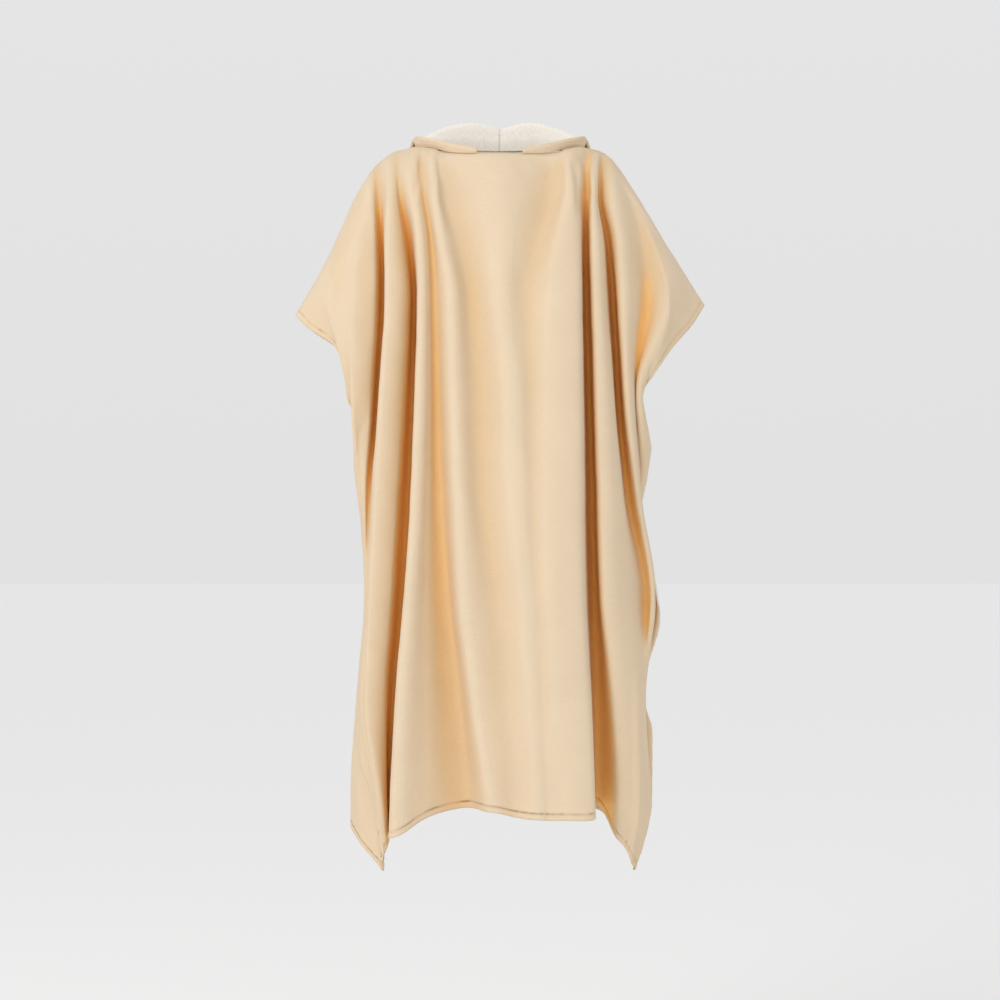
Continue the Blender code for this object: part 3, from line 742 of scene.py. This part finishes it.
def panel_stitches(name, points, normal, material):
    """The rows that hold a panel's turned foot and its two turned sleeve edges."""
    from_side = to_sides(points)
    middle = points.shape[0] // 2
    rows = [stitch_path(points, normal, to_last_row(points), 0, everywhere)]
    for half in (slice(0, middle), slice(middle, None)):
        row = stitch_path(points[half], normal[half], from_side[half], 1, beside_armhole)
        rows.append(row)
    return sewn(name, rows, material)


# The cloth's colour with painted shade by how deep in a fold it lies: place and colour. The first stop is the
# cloth's own peach; the deeper stops are painted shade.
PEACH_WITH_PAINTED_FOLD_SHADE = (
    (0.05, (0.79, 0.635, 0.455, 1.0)),
    (0.38, (0.72, 0.52, 0.305, 1.0)),
    (0.62, (0.96, 0.56, 0.19, 1.0)),
    (0.84, (1.0, 0.52, 0.12, 1.0)),
)
peach_weave = weave_material("peach_weave", PEACH_WITH_PAINTED_FOLD_SHADE)
inner_terry = terry_material("inner_terry", (0.90, 0.84, 0.75, 1.0), (0.93, 0.88, 0.80, 1.0))
front_points, front_normals, front_cloth = make_panel(
    "front_cloth", FRONT_FOLDS, "front", FRONT_CREASES, 1.0, (peach_weave, inner_terry)
)
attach(front_cloth, "root")
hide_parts("front_panel")
thread = thread_material("peach_thread", (0.66, 0.48, 0.31, 1.0), (0.78, 0.62, 0.44, 1.0))
front_stitches = panel_stitches("front_stitches", front_points, front_normals, thread)

# ----------------------------------------------------------------- back panel
# The back is cut to the same rectangle and hangs in the same way: wide and smooth
# over the shoulder blades, with deep folds beside the arms. It wraps forward at the
# left hem, where the side seam swings round to the front.

BACK_FOLDS = (
    Fold("left sleeve drape", (-26.4, 0.1, -17.7), -104.6,
         (-26.4, -26.4, -25.2, -22.0, -21.2, -19.6, -21.0, -21.4, -20.0),
         (3.0, 4.0, 5.4, 6.0, 3.6, 4.0, 0.6, -2.6, -5.2)),
    Fold("left arm ridge", (-20.4, 0.1, -5.3), -101.8,
         (-20.4, -20.5, -20.6, -20.6, -20.8, -20.2, -21.2, -22.2, -22.4),
         (3.4, 6.2, 7.4, 8.0, 8.4, 8.6, 6.2, 2.6, 0.2)),
    Fold("left deep valley", (-16.8, 0.1, -1.3), -101.2,
         (-16.0, -15.2, -14.4, -14.2, -14.8, -15.6, -16.4, -17.2, -17.6),
         (5.0, 5.0, 4.2, 3.0, 2.4, 2.0, 1.8, 1.6, 1.6)),
    Fold("left blade ridge", (-14.0, 0.1, -0.3), -100.8,
         (-13.4, -12.4, -11.6, -11.2, -11.6, -12.2, -13.0, -13.6, -14.0),
         (7.6, 9.2, 10.2, 11.0, 11.6, 12.0, 12.4, 12.6, 12.8)),
    Fold("left soft valley", (-9.4, 3.9, -0.1), -100.0,
         (-9.6, -9.2, -8.6, -7.6, -7.0, -6.6, -6.4, -6.4, -6.6),
         (7.8, 9.2, 9.9, 10.2, 10.2, 9.8, 9.2, 8.8, 8.6)),
    Fold("left back ridge", (-4.6, 5.8, 0.0), -99.4,
         (-5.0, -4.6, -4.0, -2.8, -1.8, -1.2, -0.6, -0.2, 0.0),
         (9.2, 10.4, 11.0, 11.7, 12.2, 12.8, 13.2, 13.6, 13.8)),
    Fold("back valley", (0.8, 6.4, 0.0), -99.2,
         (1.2, 1.6, 2.0, 2.6, 3.2, 3.4, 3.8, 4.2, 4.4),
         (8.9, 10.0, 10.5, 10.7, 10.4, 9.4, 8.2, 7.4, 7.2)),
    Fold("right back ridge", (6.0, 5.4, 0.0), -99.6,
         (6.2, 6.4, 6.8, 7.2, 7.8, 8.2, 8.6, 9.0, 9.0),
         (8.9, 10.3, 11.0, 11.8, 12.4, 12.9, 13.3, 13.5, 13.6)),
    Fold("right soft valley", (9.6, 3.7, -0.1), -100.2,
         (9.8, 9.8, 9.8, 10.0, 10.6, 11.2, 11.6, 12.0, 12.0),
         (7.6, 9.1, 9.9, 10.4, 10.8, 11.2, 11.6, 11.9, 12.0)),
    Fold("right blade ridge", (13.8, 0.1, -0.3), -101.2,
         (13.0, 12.6, 12.8, 13.2, 14.0, 14.8, 15.2, 15.4, 15.2),
         (7.4, 9.2, 10.2, 11.0, 11.5, 11.8, 12.0, 12.1, 12.0)),
    Fold("right deep valley", (16.4, 0.1, -1.6), -103.2,
         (15.8, 15.6, 15.8, 16.4, 17.2, 18.2, 18.4, 18.2, 17.6),
         (4.8, 4.8, 4.2, 3.0, 2.4, 2.2, 2.2, 2.4, 2.4)),
    Fold("right arm ridge", (20.4, 0.1, -7.0), -105.6,
         (20.2, 20.7, 21.0, 19.7, 20.2, 22.0, 21.0, 21.8, 20.6),
         (3.4, 6.0, 7.2, 7.8, 7.6, 6.6, 6.4, 5.2, 3.0)),
    Fold("right sleeve drape", (25.1, 0.1, -14.8), -107.4,
         (25.1, 25.0, 25.0, 20.5, 21.0, 23.2, 21.3, 22.4, 20.0),
         (3.0, 4.2, 5.6, 6.0, 3.2, 2.4, 2.6, 1.0, -1.4)),
)

BACK_CREASES = (
    Crease((-22.4, -12.0), (-26.4, -28.0), 1.1, -1.5),
    Crease((22.8, -12.0), (25.8, -27.0), 1.2, -1.5),
    Crease((-9.2, -24.0), (-10.4, -62.0), 1.8, 1.4),
    Crease((5.4, -26.0), (4.4, -58.0), 2.2, -1.5),
    Crease((11.4, -40.0), (13.0, -88.0), 1.6, 1.6),
    Crease((-3.6, -58.0), (-2.6, -94.0), 1.9, -1.3),
    Crease((-12.6, -66.0), (-13.4, -97.0), 1.4, 1.2),
)

back_points, back_normals, back_cloth = make_panel(
    "back_cloth", BACK_FOLDS, "back", BACK_CREASES, 2.6, (peach_weave, inner_terry)
)
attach(back_cloth, "root")
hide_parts("back_panel")
back_stitches = panel_stitches("back_stitches", back_points, back_normals, thread)

# ----------------------------------------------------------------------- hood
# The hood is two halves joined by a seam over the crown, sewn into the neck opening
# and worn down: it stands behind the neck, rolls over and hangs as an open pouch.
# The pile shows in its mouth, the flat weave outside.

# One section of the hood, from the neck seam over the roll, down the back and up to the
# face edge. Each point: across, depth, height, in centimetres.
Section = namedtuple("Section", "name seam lip roll fall pouch turn rim")

HOOD_SECTIONS = (
    Section("nape", (0.0, 6.45, 0.0), (0.0, 6.6, 1.8), (0.0, 7.9, 3.2), (0.0, 11.9, -4.0),
            (0.0, 12.9, -18.4), (0.0, 15.8, -20.4), (0.0, 18.0, -4.6)),
    Section("beside the nape", (4.4, 5.9, 0.0), (4.5, 6.1, 2.3), (4.7, 7.4, 4.1), (5.2, 11.6, -3.4),
            (5.8, 12.8, -16.6), (6.2, 15.4, -18.2), (6.4, 17.4, -3.8)),
    Section("back of the neck", (8.0, 4.6, 0.0), (8.3, 4.9, 1.9), (8.8, 6.3, 3.2), (9.8, 10.2, -2.2),
            (10.6, 12.2, -10.8), (11.0, 14.2, -12.2), (11.2, 15.2, -2.4)),
    Section("behind the shoulder", (11.0, 2.7, 0.0), (11.2, 2.9, 0.8), (11.8, 3.9, 1.6), (12.8, 6.4, 0.2),
            (13.4, 8.8, -3.4), (13.7, 9.8, -3.8), (13.8, 9.6, -0.6)),
    Section("neck end", (12.6, 0.0, -0.1), (12.7, 0.1, 0.2), (12.8, 0.2, 0.5), (12.9, 0.4, 0.8),
            (13.0, 0.7, 1.0), (13.1, 0.9, 1.0), (13.1, 1.0, 1.1)),
    Section("side of the neck", (10.6, -2.65, -0.38), (10.7, -2.75, -0.12), (10.8, -2.9, 0.1),
            (10.9, -3.0, 0.4), (11.0, -3.1, 0.6), (11.0, -3.1, 0.8), (11.0, -3.0, 0.95)),
    Section("front of the neck", (7.0, -5.1, -1.4), (7.0, -5.2, -1.18), (7.0, -5.3, -0.95), (7.0, -5.4, -0.7),
            (7.0, -5.4, -0.5), (7.0, -5.4, -0.35), (7.0, -5.3, -0.2)),
    Section("face point", (3.4, -6.2, -1.6), (3.4, -6.3, -1.5), (3.4, -6.4, -1.4), (3.4, -6.4, -1.3),
            (3.4, -6.4, -1.2), (3.4, -6.4, -1.1), (3.4, -6.3, -1.0)),
)
NECK_LIFT = 0.19
HOOD_FINENESS = 12
HOOD_STEP_FINENESS = 10
RIM_BAND = 0.3
HOOD_SLACK_REACH = 0.2


def through(points, fineness, far=False):
    """A finer run of points through a short one, passing each of them smoothly."""
    points = np.asarray(points, float)
    leave = np.gradient(points, axis=0)
    finer = [points[0]]
    last = len(points) - 2
    for n in range(len(points) - 1):
        for t in fine_edges(fineness, False, far and n == last, RIM_BAND)[1:]:
            finer.append(hermite(points[n], points[n + 1], leave[n], leave[n + 1], t))
    return np.array(finer)


def make_hood_half(name, side, materials):
    """One half of the hood, from the crown seam in the middle round to the front of the neck."""
    sections = np.array([section[1:] for section in HOOD_SECTIONS])
    paths = [through(section, HOOD_STEP_FINENESS, far=True) for section in sections]
    points = through(np.array(paths), HOOD_FINENESS)
    points[:, :, 2] += NECK_LIFT
    points[0, :, 0] = 0.0
    points[:, :, 0] *= side
    points = points * CM
    normal = normals_of(points) * side
    from_rim = to_last_row(points)
    reach = from_rim[:, :1]
    hemmed = reach > 2 * HEM
    hem = np.clip((HEM + 1.5 * MM - from_rim) / (3 * MM), 0, 1) * hemmed
    rise = hem_rise(from_rim) * hemmed
    rise += slack(points, 3.3) * np.clip(reach / HOOD_SLACK_REACH, 0, 1)
    points = points + normal * rise[:, :, None]
    across = run_lengths(points, 0)
    down = run_lengths(points, 1)
    shade = np.zeros(points.shape[:2])
    return cloth_sheet(name, points, across, down, side > 0, hem, shade, materials)


for half_name, side in (("hood_left", -1.0), ("hood_right", 1.0)):
    half_cloth = make_hood_half(half_name + "_cloth", side, (peach_weave, inner_terry))
    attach(half_cloth, "root")
    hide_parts(half_name)

# -------------------------------------------------------------- floor and light
# A pale studio floor far below the hem, a large soft light from the front left,
# a weak one from the right, and the camera square to the front.

FLOOR_HEIGHT = -1.50
FLOOR_REACH = 30.0
SENSOR_WIDTH = 36.0
CAMERA_DISTANCE = 4.5
PICTURE_SPAN = 1.51
PICTURE_MIDDLE = -0.5315

floor_mesh = bpy.data.meshes.new("studio_floor")
floor_grid = bmesh.new()
bmesh.ops.create_grid(floor_grid, x_segments=1, y_segments=1, size=FLOOR_REACH)
bmesh.ops.translate(floor_grid, verts=floor_grid.verts, vec=(0.0, 0.0, FLOOR_HEIGHT))
floor_grid.to_mesh(floor_mesh)
floor_grid.free()
floor_paint = bpy.data.materials.new("studio_floor")
floor_paint.use_nodes = True
floor_shader = floor_paint.node_tree.nodes["Principled BSDF"]
floor_shader.inputs["Base Color"].default_value = grey(0.93)
floor_shader.inputs["Roughness"].default_value = 0.9
floor_mesh.materials.append(floor_paint)
floor = bpy.data.objects.new("studio_floor", floor_mesh)
bpy.context.scene.collection.objects.link(floor)

world = bpy.data.worlds.new("studio")
world.use_nodes = True
sky = world.node_tree
place = sky.nodes.new("ShaderNodeTexCoord")
split = sky.nodes.new("ShaderNodeSeparateXYZ")
sky.links.new(place.outputs["Generated"], split.inputs["Vector"])
glow = ramp(sky, split.outputs["Z"], 0.0, 0.9, grey(0.76), grey(0.88))
sky.links.new(glow, sky.nodes["Background"].inputs["Color"])
bpy.context.scene.world = world


def soft_light(name, place, aim, size, power, colour):
    """A round area lamp turned towards a point."""
    lamp = bpy.data.lights.new(name, "AREA")
    lamp.shape = "DISK"
    lamp.size = size
    lamp.energy = power
    lamp.color = colour
    holder = bpy.data.objects.new(name, lamp)
    bpy.context.scene.collection.objects.link(holder)
    holder.location = place
    holder.rotation_euler = (Vector(aim) - Vector(place)).to_track_quat("-Z", "Y").to_euler()


soft_light("key", (-2.2, -3.2, 0.8), (0.0, 0.0, -0.5), 1.8, 54.0, (1.0, 0.98, 0.95))
soft_light("fill", (2.6, -3.2, -0.2), (0.0, 0.0, -0.5), 2.4, 6.0, (1.0, 1.0, 1.0))

camera_data = bpy.data.cameras.new("camera")
camera_data.sensor_width = SENSOR_WIDTH
camera_data.lens = SENSOR_WIDTH * CAMERA_DISTANCE / PICTURE_SPAN
camera = bpy.data.objects.new("camera", camera_data)
bpy.context.scene.collection.objects.link(camera)
camera.location = (0.0, -CAMERA_DISTANCE, PICTURE_MIDDLE)
camera.rotation_euler = (np.pi / 2, 0.0, 0.0)
bpy.context.scene.camera = camera
bpy.context.scene.view_settings.view_transform = "Standard"
